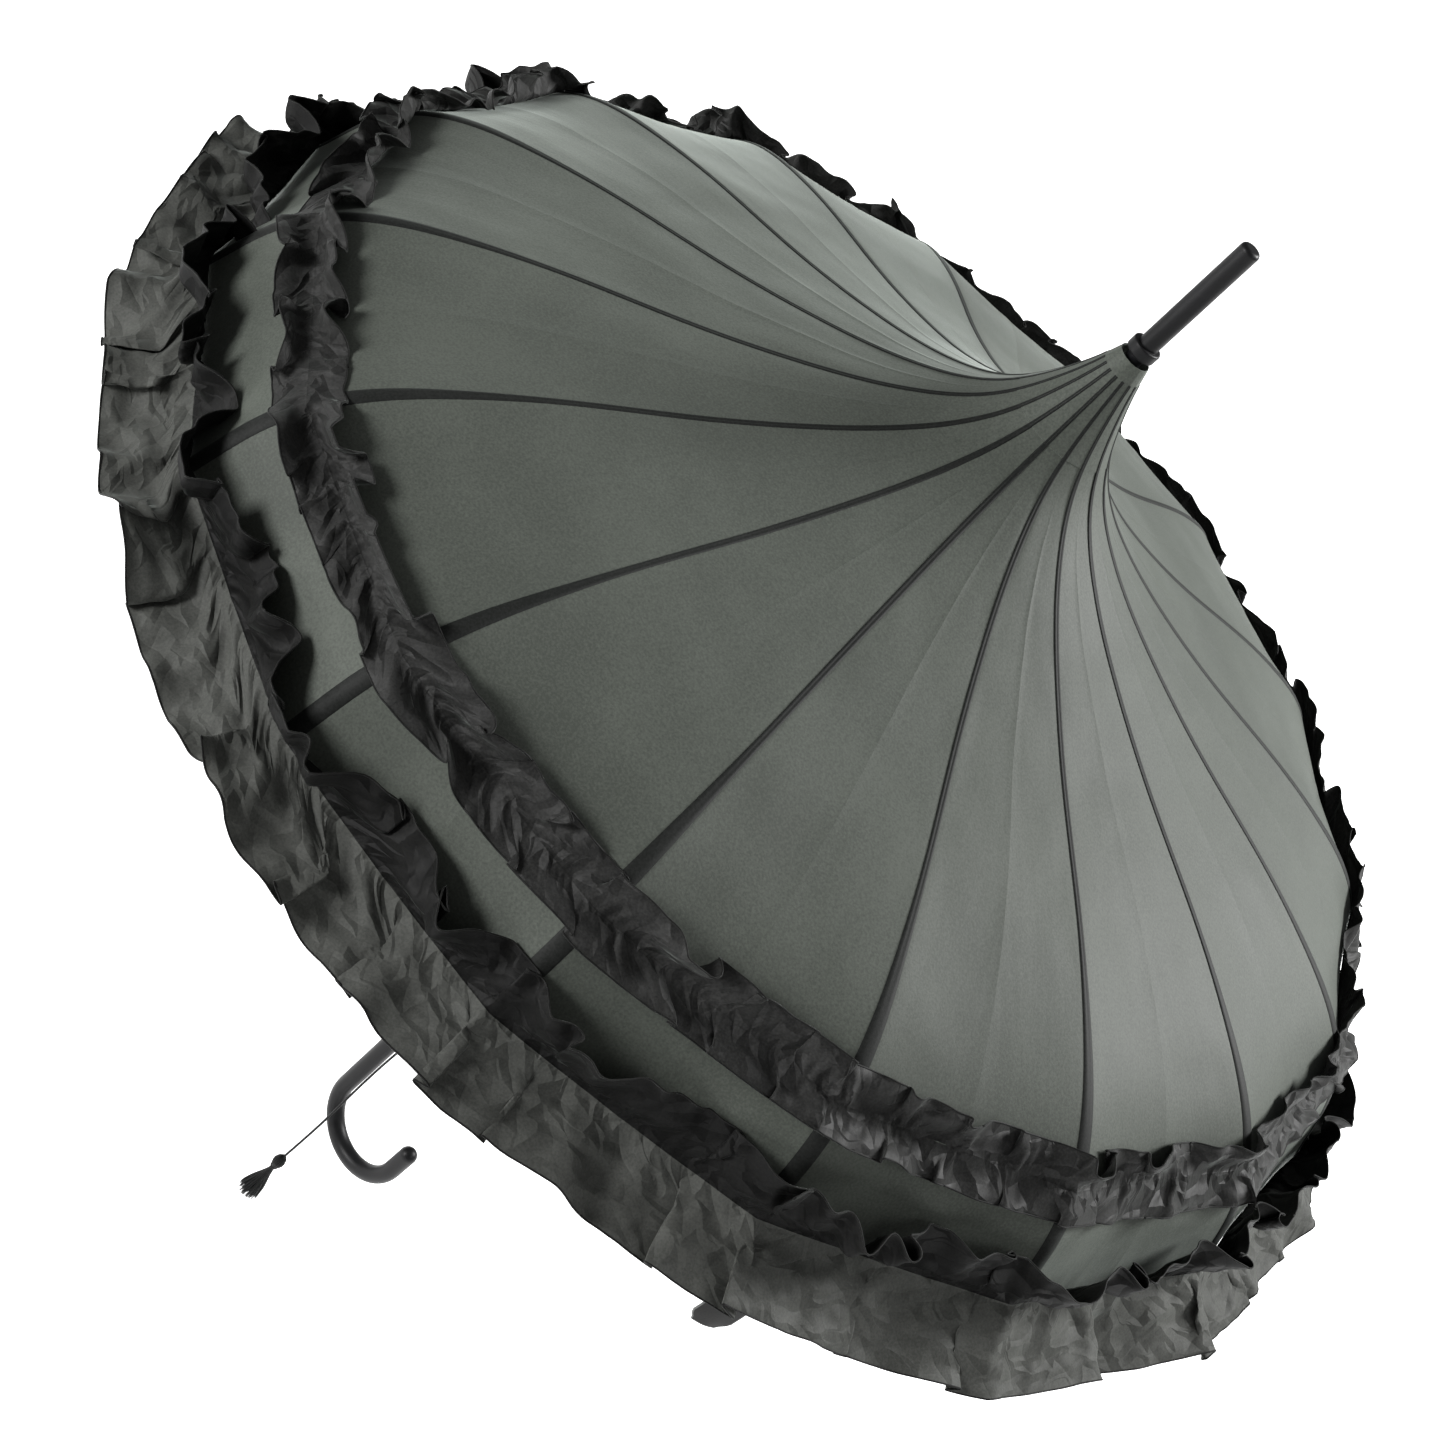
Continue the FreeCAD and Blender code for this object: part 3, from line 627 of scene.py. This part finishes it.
def two_sided(lower, upper):
    """One path below the thread, for widths above zero, and another above it."""
    def path(widths):
        low_out, low_up = lower(widths)
        high_out, high_up = upper(widths)
        below = widths >= 0
        return np.where(below, low_out, high_out), np.where(below, low_up, high_up)
    return path


def make_frills():
    """The strip just inside the hem, gathered along its middle, and the flounce with its standing header."""
    strip_widths = np.concatenate([np.linspace(-STRIP_ABOVE, -0.0012, 9), [0.0],
                                   np.linspace(0.0012, STRIP_BELOW, 9)])
    gather = distance_at(STRIP_THREAD)
    strip_path = following_path(gather, 0.0015)
    points, cloth, thread = frill_points(SEED, gather, strip_widths, strip_path,
                                         ((0.018, 0.07), (0.003, 0.013)), ((25, 30), (14, 20)),
                                         1.1, 1.6, 0.06)
    strip = split_frill("upper_frill", points, cloth, thread, strip_widths, STRIP, STRIP)

    flounce_widths = np.concatenate([np.linspace(-FLOUNCE_ABOVE, -0.0015, 14), [0.0],
                                     np.linspace(0.0015, FLOUNCE_BELOW, 20)])
    gather = distance_at(FLOUNCE_THREAD)
    flounce_path = two_sided(bent_path(-48, -26, FLOUNCE_BELOW), following_path(gather, 0.002))
    points, cloth, thread = frill_points(SEED + 1, gather, flounce_widths, flounce_path,
                                         ((0.03, 0.1), (0.004, 0.016)), ((24, 32), (3, 11)), 1.5, 1.3, -0.3)
    # The header above the thread gets the darker copy of the taffeta: painted shade.
    flounce = split_frill("flounce", points, cloth, thread, flounce_widths, HEADER_PAINTED_SHADE, TAFFETA)
    return strip, flounce


# ---- cord, tassel and strap ----

CORD_ROUTE = [(9.9, 0, 60), (15.6, 0.4, 55), (18.4, 1.2, 44), (19.6, 0.5, 24), (19.0, -1.0, -12),
              (17.8, -0.2, -58), (18.3, 1.1, -104), (17.6, 0.3, -151)]
CORD_AZIMUTH = math.radians(-45)
CORD_RADIUS = 0.9 * MM


def make_cord():
    """The tassel's cord, which hangs from its wrap on the handle."""
    places = turned(np.array(CORD_ROUTE, float) * MM, CORD_AZIMUTH)
    curve = bpy.data.curves.new("tassel_cord_line", "CURVE")
    curve.dimensions = "3D"
    spline = curve.splines.new("NURBS")
    spline.points.add(len(places) - 1)
    for point, place in zip(spline.points, places):
        point.co = (*place, 1)
    spline.order_u = 3
    spline.use_endpoint_u = True
    curve.resolution_u = 12
    curve.bevel_depth = CORD_RADIUS
    curve.bevel_resolution = 3
    curve.materials.append(CORD)
    thing = bpy.data.objects.new("cord_line", curve)
    bpy.context.scene.collection.objects.link(thing)
    return thing, places


def make_tassel():
    """A bound head and a skirt of threads."""
    low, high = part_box("tassel")
    centre = (low + high) / 2
    rng = np.random.default_rng(SEED)
    length = high.z - low.z
    head = (high.x - low.x) * 0.27
    strands = []
    for number in range(150):
        turn = number * 2.39996
        share = math.sqrt((number + 0.5) / 150)
        swing = rng.uniform(-0.25, 0.25)
        path = []
        for step in np.linspace(0, 1, 14):
            over = math.sin(min(step / 0.3, 1) * math.pi)
            flare = smooth_step((step - 0.26) / 0.74)
            radius = share * (head * (0.25 + 0.62 * over) + flare * (high.x - low.x) * 0.36)
            angle = turn + swing * flare
            drop = step * (length - rng.uniform(0, 0.4) * MM) - 0.5 * MM * (1 - share)
            path.append((centre.x + radius * math.cos(angle), centre.y + radius * math.sin(angle),
                         high.z - drop))
        strands.append(path)
    skirt = tubes_object("tassel_threads", strands, 0.42 * MM, 5, CORD)
    rings = []
    for number in range(5):
        turns = np.linspace(0, 2 * math.pi, 33)
        level = high.z - length * (0.235 + 0.012 * number)
        rings.append(np.stack([centre.x + head * 0.52 * np.cos(turns), centre.y + head * 0.52 * np.sin(turns),
                               0 * turns + level], -1))
    binding = tubes_object("tassel_binding", rings, 0.4 * MM, 6, CORD)
    return skirt, binding


def make_strap():
    """The closing strap, which hangs inside the hem beside its rib."""
    place = outline_at(OUTLINE_LENGTH)[0]
    drop = np.linspace(0, STRAP_LENGTH, 30)[:, None]
    across = np.linspace(-STRAP_HALF_WIDTH, STRAP_HALF_WIDTH, 9)[None, :]
    narrow = 1 - 0.4 * smooth_step((drop - 0.07) / 0.008)
    out = place[0] - 0.0095 + 0.004 * np.sin(drop / STRAP_LENGTH * 2.4) + 0 * across
    points = np.stack([out + 0.0006 * np.cos(across / STRAP_HALF_WIDTH * 2), across * narrow,
                       place[1] - 0.002 - drop + 0 * across], -1)
    points = turned(points, STRAP_RIB * RIB_STEP + math.radians(5))
    strap = thicken(grid_object("closing_strap", points, across, drop, RIBBON), 0.8 * MM)
    border = np.concatenate([points[:, 0], points[-1, 1:-1], points[::-1, -1]])
    # The pale grey line round the strap's border.
    edge = tubes_object("strap_edge", [border], 0.6 * MM, 6, STRAP_PALE_EDGE)
    return strap, edge


# ---- stage ----

def make_stage():
    """A pale floor just below the tassel."""
    floor_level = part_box("tassel")[0].z - 0.004
    mesh = bpy.data.meshes.new("floor")
    corners = [(x, y, floor_level) for x, y in ((-9, -9), (9, -9), (9, 9), (-9, 9))]
    mesh.from_pydata(corners, [], [(0, 1, 2, 3)])
    floor = bpy.data.objects.new("floor", mesh)
    material, _, _, shader = new_material("studio_floor")
    shader.inputs["Base Color"].default_value = (0.9, 0.9, 0.9, 1)
    shader.inputs["Roughness"].default_value = 0.9
    shader.inputs["Emission Color"].default_value = (1, 1, 1, 1)
    shader.inputs["Emission Strength"].default_value = 0.9
    mesh.materials.append(material)
    bpy.context.scene.collection.objects.link(floor)


def area_light(name, place, target, size, power):
    data = bpy.data.lights.new(name, "AREA")
    data.shape = "DISK"
    data.size = size
    data.energy = power
    light = bpy.data.objects.new(name, data)
    light.location = place
    light.rotation_euler = (Vector(target) - Vector(place)).to_track_quat("-Z", "Y").to_euler()
    bpy.context.scene.collection.objects.link(light)


def make_lights():
    world = bpy.data.worlds.new("studio")
    world.use_nodes = True
    world.node_tree.nodes["Background"].inputs["Color"].default_value = (1, 1, 1, 1)
    world.node_tree.nodes["Background"].inputs["Strength"].default_value = 0.18
    bpy.context.scene.world = world
    bpy.context.scene.view_settings.view_transform = "Standard"
    middle = (0, 0, 0.5)
    area_light("key", (1.2, 2.4, 2.5), middle, 1.2, 190)
    area_light("side", (2.6, 0.0, 2.3), middle, 1.4, 12)
    area_light("fill", (-1.4, -2.7, 1.0), middle, 1.0, 86)


# Azimuth, elevation and roll in degrees.
CAMERA_ANGLES = (19.93, 34.96, 47.18)
CAMERA_PLACE = (0.4247, -1.1905, 1.2508)
CAMERA_LENS = 64.65


def make_camera():
    azimuth, elevation, roll = (math.radians(angle) for angle in CAMERA_ANGLES)
    back = Vector((math.sin(azimuth) * math.cos(elevation), -math.cos(azimuth) * math.cos(elevation),
                   math.sin(elevation)))
    right = Vector((math.cos(azimuth), math.sin(azimuth), 0))
    up = back.cross(right)
    view_right = right * math.cos(roll) + up * math.sin(roll)
    view_up = up * math.cos(roll) - right * math.sin(roll)
    data = bpy.data.cameras.new("camera")
    data.sensor_width = 36
    data.lens = CAMERA_LENS
    camera = bpy.data.objects.new("camera", data)
    axes = Matrix((view_right, view_up, back)).transposed().to_4x4()
    camera.matrix_world = Matrix.Translation(Vector(CAMERA_PLACE)) @ axes
    bpy.context.scene.collection.objects.link(camera)
    bpy.context.scene.camera = camera


# ---- putting it together ----

def dress_rib(rib, pieces):
    """Let cloth pieces move with their rib, each with its own copy of its mesh.
    """
    for piece in pieces:
        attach(piece, f"rib_{rib:02d}")
        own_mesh(piece)


def dress_cad():
    """Give each CAD node its own material."""
    materials = {"shaft_tube": ENAMEL, "ferrule": PLASTIC, "top_notch": PLASTIC, "rib_roots": ENAMEL,
                 "handle_crook": PLASTIC, "cord_wrap": CORD, "runner": PLASTIC, "open_catch": STEEL,
                 "close_catch": STEEL}
    for name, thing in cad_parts.items():
        wanted = materials.get(name, ENAMEL if name.startswith(("rib_", "stretcher_")) else SATIN)
        thing.data.materials.clear()
        thing.data.materials.append(wanted)


def sheet_area(distances):
    """Flat area of one rib's share of the cloth between two distances down the outline."""
    samples = np.linspace(distances[0], distances[1], 200)
    radius = outline_at(samples)[0][:, 0]
    return float(radius.mean() * 2 * math.tan(HALF_PANEL) * (distances[1] - distances[0]))


def main():
    make_camera()
    cord, places = make_cord()
    dress_cad()
    make_stage()
    make_lights()

    start = distance_at(SPLIT_RADIUS - 0.003)
    petals = make_petals()
    seams = make_seams("seam", start, OUTLINE_LENGTH - 0.001)
    strip, flounce = make_frills()
    panel_area = sheet_area((start, OUTLINE_LENGTH))
    for rib in range(RIBS):
        petal = petals[rib]
        dress_rib(rib, [petal, seams[rib], *strip[rib]])
        dress_rib(rib, flounce[rib])
        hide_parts(f"canopy_panel_{rib:02d}")

    spire = make_spire()
    crest = distance_at(SPLIT_RADIUS + 0.002)
    spire_seams = make_seams("spire_seam", distance_at(0.012), crest)
    for seam in spire_seams:
        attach(seam, "frame")
    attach(spire, "frame")
    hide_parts("canopy_spire")
    spire_area = 16 * sheet_area((0, crest))

    strap, edge = make_strap()
    for piece in (strap, edge):
        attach(piece, f"rib_{STRAP_RIB:02d}")

    skirt, binding = make_tassel()
    for piece in (skirt, binding, cord):
        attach(piece, "frame")
    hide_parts("tassel")
    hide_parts("tassel_cord")


main()
